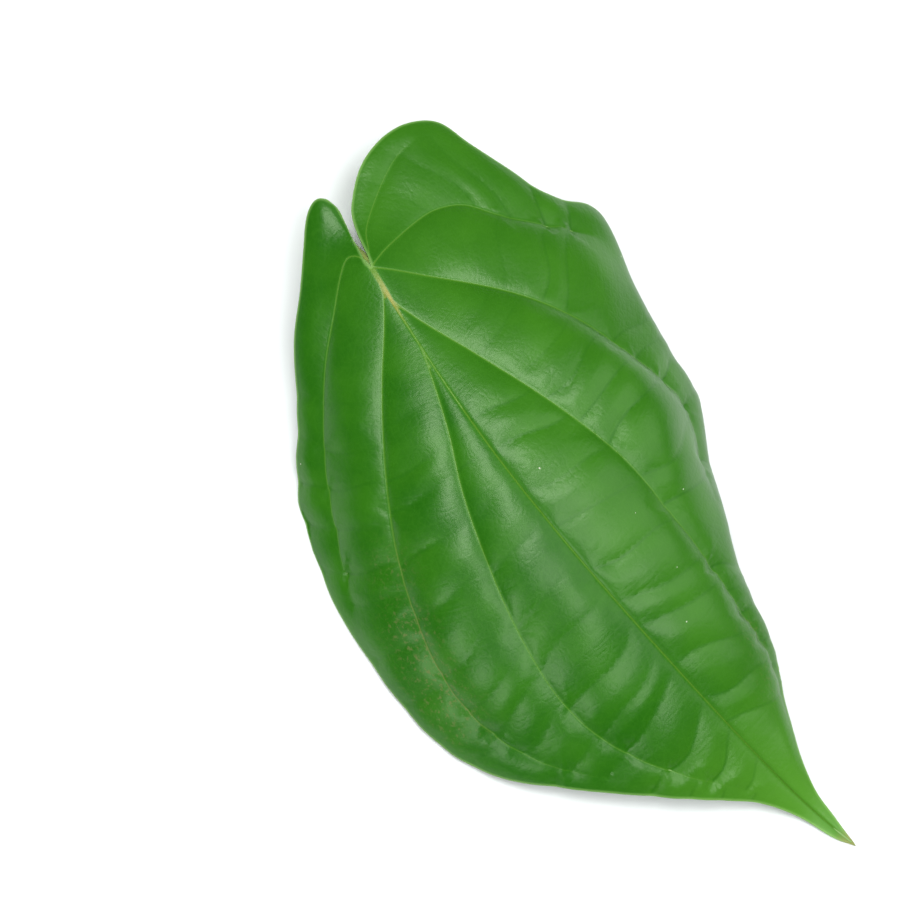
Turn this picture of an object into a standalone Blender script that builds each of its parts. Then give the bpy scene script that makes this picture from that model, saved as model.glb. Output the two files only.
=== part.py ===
"""Betel leaf: one whole leaf with the cut stub of its stalk.

The heart-shaped blade lies arched over the table, upper side up, midrib along +X to the
drawn-out tip. Both halves leave the midrib nearly level and roll down towards their edges:
the half on -Y in an even curve, the half on +Y more sharply further out. Sizes are in
millimetres on the blade laid flat: (distance along the midrib from the stalk's joint,
distance out from the midrib).
The finished solid is in metres, +Z up, standing on Z = 0.
"""
import bmesh
import bpy
import numpy as np
from mathutils.geometry import delaunay_2d_cdt

MM = 0.001

# The midrib: (distance from the stalk's joint, heading in degrees, turned to +Y)
MIDRIB_HEADING = [(-22, -10.5), (0, -10.5), (20, -8.8), (40, -3.2), (60, 2.2), (80, 5.3),
                  (100, 7.8), (122, 11.8)]
# (distance from the stalk's joint, height over the table)
MIDRIB_HEIGHT = [(-22, 12.8), (-8, 14.6), (0, 16.2), (15, 19.2), (30, 21.4), (45, 21.8),
                 (60, 20.0), (75, 16.2), (90, 11.2), (100, 7.6), (106, 5.4), (111, 3.9),
                 (115, 3.3), (122, 3.0)]

# How steeply each half falls, in degrees, at these distances out from the midrib
OUT_STATIONS = (0, 10, 20, 30, 45)
LOW_HALF_FALL = [(-22, (16, 30, 42, 50, 56)),
                 (0, (12, 26, 42, 50, 56)),
                 (20, (10, 20, 38, 50, 56)),
                 (41, (8, 14, 28, 46, 56)),
                 (61, (6, 12, 24, 40, 54)),
                 (84, (6, 12, 26, 38, 50)),
                 (104, (6, 14, 28, 36, 44)),
                 (122, (4, 16, 28, 34, 40))]
HIGH_HALF_FALL = [(-22, (6, 10, 16, 28, 44)),
                  (0, (6, 8, 14, 30, 48)),
                  (20, (6, 8, 16, 38, 58)),
                  (41, (6, 7, 14, 50, 64)),
                  (61, (6, 8, 40, 60, 64)),
                  (84, (6, 24, 58, 60, 60)),
                  (104, (12, 48, 56, 56, 56)),
                  (122, (4, 40, 50, 56, 56))]

# Edges of the two halves, from the notch at the stalk round the lobe to the tip
LOW_EDGE = [(-1, 0.4), (-5, 0), (-9, -0.6), (-12.5, -0.6), (-14.8, 1.5), (-13.5, 4.3), (-9, 8),
            (-3, 12.5), (3, 17.3), (11, 22.5), (15.5, 25.5), (20, 29.3), (25, 33), (31, 35),
            (38, 36.8), (46, 37.7), (54, 37.8), (61, 37), (66.5, 35.3), (72, 32), (79, 25.8),
            (88, 18), (98, 9.5), (104, 5), (110, 2.5), (116, 1.4), (118.6, 0.5)]
HIGH_EDGE = [(-1, 0.4), (-8, 1.6), (-11.5, 3), (-16.5, 7.5), (-19.2, 13), (-19.5, 18.5),
             (-17.5, 22.8), (-12, 25.5), (-5, 29.2), (0, 32.4), (3, 36.2), (5, 40.7), (8, 43),
             (14, 43.3), (22, 42), (30, 41.7), (37, 42.5), (44, 44), (47, 43.8), (53, 39.7),
             (60, 35), (67, 28.5), (71, 25.2), (80, 21), (90, 16), (98, 10), (103, 6),
             (109, 3.1), (114, 1.8), (118.6, 0.5)]
TIP = (119.4, 0.0)
NOTCH = (0.0, 0.0)

# Main side veins, from the midrib outwards, with the height of the rib underneath
LOW_VEINS = {
    "inner": ([(14, 0), (20, 1.3), (29, 4), (38, 7.8), (48, 11.3), (58, 14.4), (68, 16.4),
               (76, 16.2), (84, 14), (93, 9.5), (102.5, 4)], 0.6),
    "middle": ([(0, 0), (4, 0.4), (9, 3.2), (16, 7.9), (24, 13), (32, 18), (40, 22.6),
                (47, 25.8), (54, 28.2), (60, 29), (66, 28.4), (72, 26.4), (78, 23),
                (84, 18.4)], 0.6),
    "outer": ([(0, 0), (-2.7, 0.8), (-3.6, 2.4), (-1.8, 4.8), (3, 9.3), (9, 14.8), (16, 20),
               (24, 25.2), (33, 30), (41, 34)], 0.45),
}
HIGH_VEINS = {
    "inner": ([(6, 0), (12, 2.7), (20, 6.6), (30, 10.8), (40, 14), (50, 16), (60, 16.5),
               (74, 16.3), (85, 15), (93, 12.5), (99, 8.5)], 0.6),
    "middle": ([(0, 0), (4.5, 6.3), (11, 14.2), (17, 20), (24, 24.9), (33, 29.3), (42, 34.2),
                (47, 36), (52, 35), (57, 32.3), (63, 28)], 0.6),
    "outer": ([(0, 0), (-2, 4), (-4, 10), (-4.5, 14.5), (-3, 19), (1, 22.8), (5, 27.8),
               (8, 33), (11, 37.5)], 0.45),
    "lobe": ([(0, 0), (-3.4, 1.4), (-6.5, 2.8), (-10, 6.2), (-13.5, 10.5), (-15.5, 14),
              (-16.4, 17.5)], 0.35),
}
MIDRIB_RIB = [(-2, 0.2), (0, 0.3), (4, 1.2), (40, 0.9), (80, 0.5), (105, 0.2), (122, 0.0)]

BLADE_THICK = 0.75
EDGE_THICK = 0.65
RIB_HALF_WIDTH = 0.9
SWELL = 2.4            # rise of the blade between two veins
SWELL_REACH = 5.0      # distance from a vein over which it rises
CURL = 0.7             # the last few millimetres turned down at the edge
CURL_REACH = 3.5
JOINT_REACH = 7.0      # the blade is smooth this close to the stalk's joint
POINT_SPACING = 2.9
EDGE_SPACING = 1.8
VEIN_SPACING = 2.2

# The cut stub of the stalk: (back along the midrib, sideways, below the blade, radius)
STALK = [(4.0, 0.0, 0.95, 0.55), (2.0, 0.0, 1.2, 0.85), (0.0, 0.0, 1.55, 1.15),
         (-2.0, 0.0, 2.3, 1.3), (-4.2, 0.1, 3.9, 1.35), (-6.4, 0.3, 6.0, 1.4),
         (-8.3, 0.6, 8.2, 1.45)]
STALK_SIDES = 18
STALK_GROOVE = 0.28    # depth of the channel along its upper side, as a share of radius

PRESSED = 0.3          # how far the spots that touch the table are pressed flat


def smooth_value(table, x):
    """Smooth curve through (station, value) rows; value may be a tuple."""
    s = np.array([row[0] for row in table], float)
    v = np.array([np.atleast_1d(row[1]) for row in table], float)
    step = np.diff(s)[:, None]
    slope = np.diff(v, axis=0) / step
    tangent = np.vstack([slope[:1], (slope[1:] + slope[:-1]) / 2, slope[-1:]])
    flat = np.vstack([slope[:1] * 0 + 1, np.sign(slope[1:] * slope[:-1]), slope[:1] * 0 + 1])
    tangent = np.where(flat > 0, tangent, 0)
    x = np.clip(np.asarray(x, float), s[0], s[-1])
    i = np.clip(np.searchsorted(s, x, side="right") - 1, 0, len(s) - 2)
    h = (s[i + 1] - s[i])[:, None]
    t = (x - s[i])[:, None] / h
    return (v[i] * (1 + 2 * t) * (1 - t) ** 2 + tangent[i] * h * t * (1 - t) ** 2
            + v[i + 1] * t ** 2 * (3 - 2 * t) + tangent[i + 1] * h * t ** 2 * (t - 1))


def smooth_path(points, spacing):
    """Evenly spaced points on a smooth curve through the given ones."""
    p = np.array(points, float)
    reach = np.concatenate([[0], np.cumsum(np.sqrt(np.hypot(*np.diff(p, axis=0).T)))])
    table = list(zip(reach, p))
    fine = smooth_open(table, np.linspace(0, reach[-1], 800))
    length = np.concatenate([[0], np.cumsum(np.hypot(*np.diff(fine, axis=0).T))])
    count = max(2, int(round(length[-1] / spacing)) + 1)
    even = np.linspace(0, length[-1], count)
    return np.stack([np.interp(even, length, fine[:, k]) for k in (0, 1)], 1)


def smooth_open(table, x):
    """Like smooth_value, with tangents that round off turning points."""
    s = np.array([row[0] for row in table], float)
    v = np.array([row[1] for row in table], float)
    slope = np.diff(v, axis=0) / np.diff(s)[:, None]
    inner = (v[2:] - v[:-2]) / (s[2:] - s[:-2])[:, None]
    tangent = np.vstack([slope[:1], inner, slope[-1:]])
    i = np.clip(np.searchsorted(s, x, side="right") - 1, 0, len(s) - 2)
    h = (s[i + 1] - s[i])[:, None]
    t = (x - s[i])[:, None] / h
    return (v[i] * (1 + 2 * t) * (1 - t) ** 2 + tangent[i] * h * t * (1 - t) ** 2
            + v[i + 1] * t ** 2 * (3 - 2 * t) + tangent[i + 1] * h * t ** 2 * (t - 1))


def midrib_line():
    """The midrib in space: stations, points and headings in radians."""
    a = np.arange(-22, 122.01, 0.5)
    heading = np.radians(smooth_value(MIDRIB_HEADING, a)[:, 0])
    height = smooth_value(MIDRIB_HEIGHT, a)[:, 0]
    level = np.sqrt(1 - np.gradient(height, a) ** 2)
    run = np.stack([np.cos(heading) * level, np.sin(heading) * level], 1)
    track = np.vstack([[0, 0], np.cumsum((run[1:] + run[:-1]) * 0.25, axis=0)])
    track -= track[np.argmin(abs(a))]
    return a, np.column_stack([track, height]), heading


AXIS_A, AXIS_POINT, AXIS_HEADING = midrib_line()


def arch(flat):
    """The smooth arched sheet, before its swellings: flat (n, 2) to space (n, 3)."""
    along, out = flat[:, 0], abs(flat[:, 1])
    side = np.where(flat[:, 1] < 0, -1.0, 1.0)
    steps = np.linspace(0, 1, 25)
    reach = out[:, None] * steps
    fall = np.empty_like(reach)
    for mask, table in ((side < 0, LOW_HALF_FALL), (side > 0, HIGH_HALF_FALL)):
        if mask.any():
            rows = smooth_value(table, along[mask])
            fall[mask] = [np.interp(r, OUT_STATIONS, row) for r, row in zip(reach[mask], rows)]
    fall = np.radians(fall)
    width = out / 24
    away = (np.cos(fall)[:, 1:] + np.cos(fall)[:, :-1]).sum(1) / 2 * width
    drop = (np.sin(fall)[:, 1:] + np.sin(fall)[:, :-1]).sum(1) / 2 * width
    base = np.stack([np.interp(along, AXIS_A, AXIS_POINT[:, k]) for k in range(3)], 1)
    heading = np.interp(along, AXIS_A, AXIS_HEADING)
    base[:, 0] -= side * np.sin(heading) * away
    base[:, 1] += side * np.cos(heading) * away
    base[:, 2] -= drop
    return base


def gap_to(flat, path):
    """Distance of each flat point to a path, and how far along the path that is."""
    start, run = path[:-1], np.diff(path, axis=0)
    rel = flat[:, None, :] - start
    share = np.clip((rel * run).sum(2) / (run ** 2).sum(1), 0, 1)
    gap = np.hypot(*np.moveaxis(rel - share[..., None] * run, 2, 0))
    best = gap.argmin(1)
    row = np.arange(len(flat))
    return gap[row, best], (best + share[row, best]) / len(run)


def vein_paths():
    """Every vein as (path, rib height); the midrib comes first."""
    midrib = np.arange(0, 119, 1.5)
    paths = [(np.stack([midrib, midrib * 0], 1), None)]
    for side, group in ((-1, LOW_VEINS), (1, HIGH_VEINS)):
        for points, rib in group.values():
            paths.append((smooth_path([(u, side * v) for u, v in points], 1.5), rib))
    return paths


def edge_path(spacing):
    """The blade's closed outline from the notch round the high half, tip and low half."""
    high = smooth_path(HIGH_EDGE, spacing)
    low = smooth_path(LOW_EDGE, spacing) * (1, -1)
    return np.vstack([[NOTCH], high, [TIP], low[::-1]])


VEINS = vein_paths()
OUTLINE = edge_path(1.0)
CLOSED_OUTLINE = np.vstack([OUTLINE, OUTLINE[:1]])


def swelling(flat):
    """Height of the blade over the smooth arch: low at veins, turned down at the edge."""
    open_share = np.ones(len(flat))
    for path, rib in VEINS:
        gap, share = gap_to(flat, path)
        depth = 1.0 if rib is None else 1 - 0.75 * share ** 2
        open_share *= 1 - depth * np.exp(-gap / SWELL_REACH)
    edge = gap_to(flat, CLOSED_OUTLINE)[0]
    curl = CURL * np.clip(1 - edge / CURL_REACH, 0, 1) ** 2
    from_joint = 1 - np.exp(-(np.hypot(*flat.T) / JOINT_REACH) ** 2)
    return (SWELL * (open_share - 0.5) - curl) * from_joint


def sheet(flat, with_swelling=True):
    """The blade's upper face, from flat points to points in space."""
    base = arch(flat)
    if not with_swelling:
        return base
    return base + facing(flat, False) * swelling(flat)[:, None]


def facing(flat, with_swelling=True):
    """Unit vectors square to the sheet, pointing up."""
    du, dv = np.array([0.25, 0]), np.array([0, 0.25])
    along = sheet(flat + du, with_swelling) - sheet(flat - du, with_swelling)
    across = sheet(flat + dv, with_swelling) - sheet(flat - dv, with_swelling)
    normal = np.cross(along, across)
    return normal / np.linalg.norm(normal, axis=1)[:, None]


def thickness(flat):
    """Blade thickness with the ribs that stand out underneath."""
    edge = gap_to(flat, CLOSED_OUTLINE)[0]
    thick = EDGE_THICK + (BLADE_THICK - EDGE_THICK) * np.clip(edge / 3, 0, 1)
    rib_height = np.zeros(len(flat))
    for path, rib in VEINS:
        gap, share = gap_to(flat, path)
        if rib is None:
            height = smooth_value(MIDRIB_RIB, flat[:, 0])[:, 0]
        else:
            height = rib * (1 - share) ** 0.7
        rib_height = np.maximum(rib_height, height * np.clip(1 - gap / RIB_HALF_WIDTH, 0, 1))
    return thick + rib_height


def inside(points, ring):
    """Which flat points lie inside a closed ring of points."""
    hit = np.zeros(len(points), bool)
    for (x0, y0), (x1, y1) in zip(ring, np.roll(ring, -1, axis=0)):
        if y0 != y1:
            cross = (y0 > points[:, 1]) != (y1 > points[:, 1])
            hit ^= cross & (points[:, 0] < (x1 - x0) * (points[:, 1] - y0) / (y1 - y0) + x0)
    return hit


def clear_of(points, kept, gap):
    """The points that keep a gap from all the kept ones."""
    far = [np.hypot(*(kept - p).T).min() > gap for p in points]
    return points[np.array(far, bool)]


def flat_mesh():
    """Triangles over the flat blade with rows of points along every vein and edge."""
    ring = edge_path(EDGE_SPACING)
    points = [ring]
    count = len(ring)
    edges = []
    midrib = np.arange(VEIN_SPACING, 117.5, VEIN_SPACING)
    lines = [np.stack([midrib, midrib * 0], 1)]
    for path, rib in VEINS[1:]:
        length = np.hypot(*np.diff(path, axis=0).T).sum()
        even = np.linspace(0, len(path) - 1, max(3, int(length / VEIN_SPACING)))
        line = np.stack([np.interp(even, np.arange(len(path)), path[:, k]) for k in (0, 1)], 1)
        lines.append(clear_of(line, np.vstack(points + lines), 0.75))
    flank = []
    for line in lines:
        edges += [(count + k, count + k + 1) for k in range(len(line) - 1)]
        points.append(line)
        count += len(line)
        run = np.gradient(line, axis=0)
        square = np.stack([-run[:, 1], run[:, 0]], 1) / np.hypot(*run.T)[:, None]
        flank += [line + square * RIB_HALF_WIDTH, line - square * RIB_HALF_WIDTH]
    kept = np.vstack(points)
    for row in flank:
        row = row[inside(row, ring)]
        row = clear_of(row, kept, 0.7)
        if len(row):
            kept = np.vstack([kept, row])
    rows = []
    pitch = POINT_SPACING * np.sqrt(3) / 2
    for k, out in enumerate(np.arange(-42, 46, pitch)):
        along = np.arange(-22 + (k % 2) * POINT_SPACING / 2, 121, POINT_SPACING)
        rows.append(np.column_stack([along, np.full(len(along), out)]))
    grid = np.vstack(rows)
    grid = clear_of(grid[inside(grid, ring)], kept, POINT_SPACING * 0.55)
    kept = np.vstack([kept, grid])
    result = delaunay_2d_cdt([tuple(p) for p in kept], edges, [list(range(len(ring)))], 1, 1e-4)
    return np.array([tuple(v) for v in result[0]]), [tuple(f) for f in result[2]]


def settle(flat, top, under, stalk):
    """Turn and lower the leaf so that its lowest spots stand on the table, pressed flat."""
    parts = [flat[:, 1] < -15, flat[:, 1] > 15, flat[:, 0] > 100]
    normal = np.array([0.0, 0.0, 1.0])
    for _ in range(12):
        height = under @ normal
        spot = [under[mask][height[mask].argmin()] for mask in parts]
        normal = np.cross(spot[2] - spot[0], spot[1] - spot[0])
        normal /= np.linalg.norm(normal)
    ahead = np.array([1, 0, 0]) - normal * normal[0]
    ahead /= np.linalg.norm(ahead)
    turn = np.array([ahead, np.cross(normal, ahead), normal])
    done = [group @ turn.T for group in (top, under, stalk)]
    floor = done[1][:, 2].min() + PRESSED
    for group in done:
        group[:, 2] -= floor
    np.maximum(done[1][:, 2], 0, out=done[1][:, 2])
    done[0][:, 2] = np.maximum(done[0][:, 2], done[1][:, 2] + EDGE_THICK * 0.98)
    return done


def stalk_rings():
    """Points of the stalk stub, ring by ring, round with a channel on its upper side."""
    path = []
    for back, aside, below, radius in STALK:
        start = np.array([[max(back, 0.0), 0.0]])
        centre = sheet(start)[0]
        centre = centre + np.array([min(back, 0.0), aside, -below])
        path.append((centre, radius))
    centres = np.array([c for c, r in path])
    runs = np.gradient(centres, axis=0)
    rings = []
    for (centre, radius), run in zip(path, runs):
        run = run / np.linalg.norm(run)
        side = np.cross(run, (0, 0, 1))
        side /= np.linalg.norm(side)
        lift = np.cross(side, run)
        angle = np.arange(STALK_SIDES) * 2 * np.pi / STALK_SIDES
        groove = 1 - STALK_GROOVE * np.exp(-((angle - np.pi / 2) / 0.5) ** 2)
        rings.append(centre + radius * groove[:, None] * (np.cos(angle)[:, None] * side
                                                         + np.sin(angle)[:, None] * lift))
    return np.vstack(rings)


def mesh_object(name, points, faces):
    """A mesh object from points in millimetres."""
    mesh = bpy.data.meshes.new(name)
    mesh.from_pydata([tuple(p * MM) for p in points], [], faces)
    mesh.update()
    obj = bpy.data.objects.new(name, mesh)
    bpy.context.collection.objects.link(obj)
    return obj


def blade_object(top, under, triangles):
    """The closed blade: upper face, underside and the band round the edge."""
    count = len(top)
    faces = [tuple(f) for f in triangles]
    faces += [tuple(count + k for k in reversed(f)) for f in triangles]
    used = {}
    for f in triangles:
        for a, b in zip(f, f[1:] + f[:1]):
            used[(a, b)] = True
    for a, b in used:
        if (b, a) not in used:
            faces += [(b, a, count + a), (b, count + a, count + b)]
    return mesh_object("leaf", np.vstack([top, under]), faces)


def stalk_object(points):
    """The closed stub of the stalk with its cut end."""
    n, rings = STALK_SIDES, len(STALK)
    faces = [tuple(reversed(range(n))), tuple(range((rings - 1) * n, rings * n))]
    for r in range(rings - 1):
        for k in range(n):
            a, b = r * n + k, r * n + (k + 1) % n
            faces.append((a, b, b + n, a + n))
    obj = mesh_object("stalk", points, faces)
    work = bmesh.new()
    work.from_mesh(obj.data)
    bmesh.ops.recalc_face_normals(work, faces=work.faces)
    bmesh.ops.triangulate(work, faces=work.faces)
    work.to_mesh(obj.data)
    work.free()
    return obj


def join(blade, stalk):
    """Grow the stalk into the blade as one solid."""
    union = blade.modifiers.new("stalk", "BOOLEAN")
    union.operation = "UNION"
    union.solver = "EXACT"
    union.object = stalk
    graph = bpy.context.evaluated_depsgraph_get()
    merged = bpy.data.meshes.new_from_object(blade.evaluated_get(graph))
    blade.modifiers.clear()
    blade.data = merged
    bpy.data.objects.remove(stalk)
    work = bmesh.new()
    work.from_mesh(merged)
    bmesh.ops.remove_doubles(work, verts=work.verts, dist=2e-6)
    bmesh.ops.dissolve_degenerate(work, edges=work.edges, dist=2e-6)
    bmesh.ops.triangulate(work, faces=work.faces)
    work.to_mesh(merged)
    work.free()


def centre_on_floor(obj):
    """Put the middle of the bounding box's foot on the origin."""
    points = np.array([tuple(v.co) for v in obj.data.vertices])
    low, high = points.min(0), points.max(0)
    shift = np.array([(low[0] + high[0]) / 2, (low[1] + high[1]) / 2, low[2]])
    for vertex, point in zip(obj.data.vertices, points - shift):
        vertex.co = point
    obj.data.update()


def green_material():
    """Fresh deep green with the waxy sheen of the upper side."""
    material = bpy.data.materials.new("leaf_green")
    material.use_nodes = True
    shader = material.node_tree.nodes["Principled BSDF"]
    shader.inputs["Base Color"].default_value = (0.045, 0.19, 0.02, 1)
    shader.inputs["Roughness"].default_value = 0.42
    return material


def build_leaf():
    """Model the whole leaf as one solid."""
    flat, triangles = flat_mesh()
    top = sheet(flat)
    under = top - facing(flat, False) * thickness(flat)[:, None]
    top, under, stalk_points = settle(flat, top, under, stalk_rings())
    leaf = blade_object(top, under, triangles)
    stalk = stalk_object(stalk_points)
    join(leaf, stalk)
    centre_on_floor(leaf)
    leaf.data.materials.clear()
    leaf.data.materials.append(green_material())


for old in list(bpy.data.objects):
    bpy.data.objects.remove(old)
build_leaf()
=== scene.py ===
"""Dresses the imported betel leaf: fine blade with pressed veins, ribs, stalk, light and camera.

Every length on the leaf is in millimetres on the blade laid flat: distance along the
midrib from the stalk's joint, and distance out from it, minus towards the low half.
Everything that goes into Blender is in metres, +Z up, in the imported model's frame.
"""
import logging
import math
from dataclasses import dataclass, field
from enum import Enum
from typing import Any, Iterable, Sequence

import bmesh
import bpy
import numpy as np
from mathutils import Matrix, Vector
from mathutils.geometry import delaunay_2d_cdt


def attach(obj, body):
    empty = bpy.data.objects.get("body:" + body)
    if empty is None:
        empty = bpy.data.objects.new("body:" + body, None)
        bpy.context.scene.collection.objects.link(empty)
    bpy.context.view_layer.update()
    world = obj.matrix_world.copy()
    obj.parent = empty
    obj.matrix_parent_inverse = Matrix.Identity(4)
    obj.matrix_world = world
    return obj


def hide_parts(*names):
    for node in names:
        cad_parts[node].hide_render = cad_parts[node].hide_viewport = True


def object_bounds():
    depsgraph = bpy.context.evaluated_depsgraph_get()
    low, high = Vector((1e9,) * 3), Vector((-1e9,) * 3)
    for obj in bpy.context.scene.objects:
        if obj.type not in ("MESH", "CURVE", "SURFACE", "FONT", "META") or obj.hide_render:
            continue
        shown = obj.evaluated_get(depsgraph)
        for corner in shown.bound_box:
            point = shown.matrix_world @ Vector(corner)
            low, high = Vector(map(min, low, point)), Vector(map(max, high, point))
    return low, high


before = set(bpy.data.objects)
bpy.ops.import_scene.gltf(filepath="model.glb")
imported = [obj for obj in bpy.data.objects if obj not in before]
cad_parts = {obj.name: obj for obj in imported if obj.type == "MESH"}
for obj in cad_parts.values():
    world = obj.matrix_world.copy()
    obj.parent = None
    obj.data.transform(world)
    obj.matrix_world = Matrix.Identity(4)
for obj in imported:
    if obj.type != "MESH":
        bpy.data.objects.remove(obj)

MM = 0.001
BATCH = 2048
FULL_SPACING, QUICK_SPACING = 0.62, 1.1
ROOT = "root"
NODE = "leaf"
LOG = logging.getLogger("betel_leaf")
CAD_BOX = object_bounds()


class Half(Enum):
    """The two halves of the blade, by the sign of the distance out from the midrib."""

    LOW = -1
    HIGH = 1


class Face(Enum):
    """The blade's surfaces, by the place of their finish on the blade's object."""

    UPPER = 0
    UNDER = 1
    RIM = 2


class Line(Enum):
    """What a strip of blade between two lines is bounded by, besides a named vein."""

    MIDRIB = "midrib"
    EDGE = "edge"


@dataclass(frozen=True)
class Vein:
    """One of the main veins: its course, and how wide and how deep it is."""

    name: str
    half: Half
    points: tuple[tuple[float, float], ...]
    rib: float
    width: float = 0.5


@dataclass(frozen=True)
class Strip:
    """A strip of blade crossed by fine veins, over a range of distances from the joint."""

    half: Half
    inner: str
    outer: str
    start: float
    end: float
    pitch: float
    lean: float


@dataclass(frozen=True)
class Scuff:
    """A worn, brownish spot on the upper face."""

    along: float
    out: float
    size: float
    weight: float


MIDRIB_HEADING = ((-22, -10.5), (0, -10.5), (20, -8.8), (40, -3.2), (60, 2.2), (80, 5.3),
                  (100, 7.8), (122, 11.8))
MIDRIB_HEIGHT = ((-22, 12.8), (-8, 14.6), (0, 16.2), (15, 19.2), (30, 21.4), (45, 21.8),
                 (60, 20.0), (75, 16.2), (90, 11.2), (100, 7.6), (106, 5.4), (111, 3.9),
                 (115, 3.3), (122, 3.0))
OUT_STATIONS = (0, 10, 20, 30, 45)
LOW_FALL = ((-22, (16, 30, 42, 50, 56)), (0, (12, 26, 42, 50, 56)), (20, (10, 20, 38, 50, 56)),
            (41, (8, 14, 28, 46, 56)), (61, (6, 12, 24, 40, 54)), (84, (6, 12, 26, 38, 50)),
            (104, (6, 14, 28, 36, 44)), (122, (4, 16, 28, 34, 40)))
HIGH_FALL = ((-22, (6, 10, 16, 28, 44)), (0, (6, 8, 14, 30, 48)), (20, (6, 8, 16, 38, 58)),
             (41, (6, 7, 14, 50, 64)), (61, (6, 8, 40, 60, 64)), (84, (6, 24, 58, 60, 60)),
             (104, (12, 48, 56, 56, 56)), (122, (4, 40, 50, 56, 56)))
LOW_EDGE = ((-1, 0.4), (-5, 0), (-9, -0.6), (-12.5, -0.6), (-14.8, 1.5), (-13.5, 4.3), (-9, 8),
            (-3, 12.5), (3, 17.3), (11, 22.5), (15.5, 25.5), (20, 29.3), (25, 33), (31, 35),
            (38, 36.8), (46, 37.7), (54, 37.8), (61, 37), (66.5, 35.3), (72, 32), (79, 25.8),
            (88, 18), (98, 9.5), (104, 5), (110, 2.5), (116, 1.4), (118.6, 0.5))
HIGH_EDGE = ((-1, 0.4), (-8, 1.6), (-11.5, 3), (-16.5, 7.5), (-19.2, 13), (-19.5, 18.5),
             (-17.5, 22.8), (-12, 25.5), (-5, 29.2), (0, 32.4), (3, 36.2), (5, 40.7), (8, 43),
             (14, 43.3), (22, 42), (30, 41.7), (37, 42.5), (44, 44), (47, 43.8), (53, 39.7),
             (60, 35), (67, 28.5), (71, 25.2), (80, 21), (90, 16), (98, 10), (103, 6),
             (109, 3.1), (114, 1.8), (118.6, 0.5))
TIP = (119.4, 0.0)
NOTCH = (0.0, 0.0)
VEINS = (
    Vein("low_inner", Half.LOW, ((14, 0), (20, 1.3), (29, 4), (38, 7.8), (48, 11.3), (58, 14.4),
         (68, 16.4), (76, 16.2), (84, 14), (93, 9.5), (102.5, 4)), 0.6),
    Vein("low_middle", Half.LOW, ((0, 0), (4, 0.4), (9, 3.2), (16, 7.9), (24, 13), (32, 18),
         (40, 22.6), (47, 25.8), (54, 28.2), (60, 29), (66, 28.4), (72, 26.4), (78, 23),
         (84, 18.4)), 0.6),
    Vein("low_outer", Half.LOW, ((0, 0), (-2.7, 0.8), (-3.6, 2.4), (-1.8, 4.8), (3, 9.3),
         (9, 14.8), (16, 20), (24, 25.2), (33, 30), (41, 34)), 0.45, 0.4),
    Vein("high_inner", Half.HIGH, ((6, 0), (12, 2.7), (20, 6.6), (30, 10.8), (40, 14), (50, 16),
         (60, 16.5), (74, 16.3), (85, 15), (93, 12.5), (99, 8.5)), 0.6),
    Vein("high_middle", Half.HIGH, ((0, 0), (4.5, 6.3), (11, 14.2), (17, 20), (24, 24.9),
         (33, 29.3), (42, 34.2), (47, 36), (52, 35), (57, 32.3), (63, 28)), 0.6),
    Vein("high_outer", Half.HIGH, ((0, 0), (-2, 4), (-4, 10), (-4.5, 14.5), (-3, 19), (1, 22.8),
         (5, 27.8), (8, 33), (11, 37.5)), 0.45, 0.4),
    Vein("high_lobe", Half.HIGH, ((0, 0), (-3.4, 1.4), (-6.5, 2.8), (-10, 6.2), (-13.5, 10.5),
         (-15.5, 14), (-16.4, 17.5)), 0.35, 0.35),
)
STRIPS = (
    Strip(Half.LOW, "midrib", "low_inner", 26, 101, 6.4, 0.35),
    Strip(Half.LOW, "midrib", "low_middle", 9, 19, 5.0, 0.2),
    Strip(Half.LOW, "low_inner", "low_middle", 22, 84, 6.2, 0.3),
    Strip(Half.LOW, "low_middle", "low_outer", 7, 52, 6.0, 0.2),
    Strip(Half.LOW, "low_outer", "edge", 22, 52, 5.6, 0.2),
    Strip(Half.LOW, "low_middle", "edge", 56, 86, 5.6, 0.35),
    Strip(Half.LOW, "low_inner", "edge", 88, 103, 5.0, 0.4),
    Strip(Half.HIGH, "midrib", "high_inner", 14, 98, 6.6, 0.35),
    Strip(Half.HIGH, "high_inner", "high_middle", 10, 68, 6.2, 0.25),
    Strip(Half.HIGH, "high_middle", "high_outer", 7, 38, 6.0, 0.15),
    Strip(Half.HIGH, "high_outer", "high_lobe", 7, 22, 5.4, 0.0),
    Strip(Half.HIGH, "high_lobe", "edge", 9, 23, 5.4, 0.1),
    Strip(Half.HIGH, "high_outer", "edge", 24, 38, 5.4, 0.1),
    Strip(Half.HIGH, "high_middle", "edge", 41, 70, 5.4, 0.3),
    Strip(Half.HIGH, "high_inner", "edge", 73, 99, 5.2, 0.35),
)

SCUFFS = (
    Scuff(40, -24, 4, 0.5),
    Scuff(48, -27.5, 4, 1.0),
    Scuff(55, -30, 4.5, 1.0),
    Scuff(61, -31, 4.5, 0.7),
    Scuff(84, 15, 4, 0.5),
    Scuff(92, 12, 4, 0.5),
)


def smooth_value(table: Sequence[tuple[float, Any]], x: np.ndarray) -> np.ndarray:
    """Read a smooth curve through a table, level at its turning points.

    Args:
        table: rows of station and value, where a value may be several numbers.
        x: the stations to read.

    Returns:
        One row of values for each x.
    """
    s = np.array([row[0] for row in table], float)
    v = np.array([np.atleast_1d(row[1]) for row in table], float)
    slope = np.diff(v, axis=0) / np.diff(s)[:, None]
    tangent = np.vstack([slope[:1], (slope[1:] + slope[:-1]) / 2, slope[-1:]])
    same = np.sign(slope[1:] * slope[:-1])
    tangent[1:-1][same <= 0] = 0
    return _hermite(s, v, tangent, np.clip(np.asarray(x, float), s[0], s[-1]))


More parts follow.
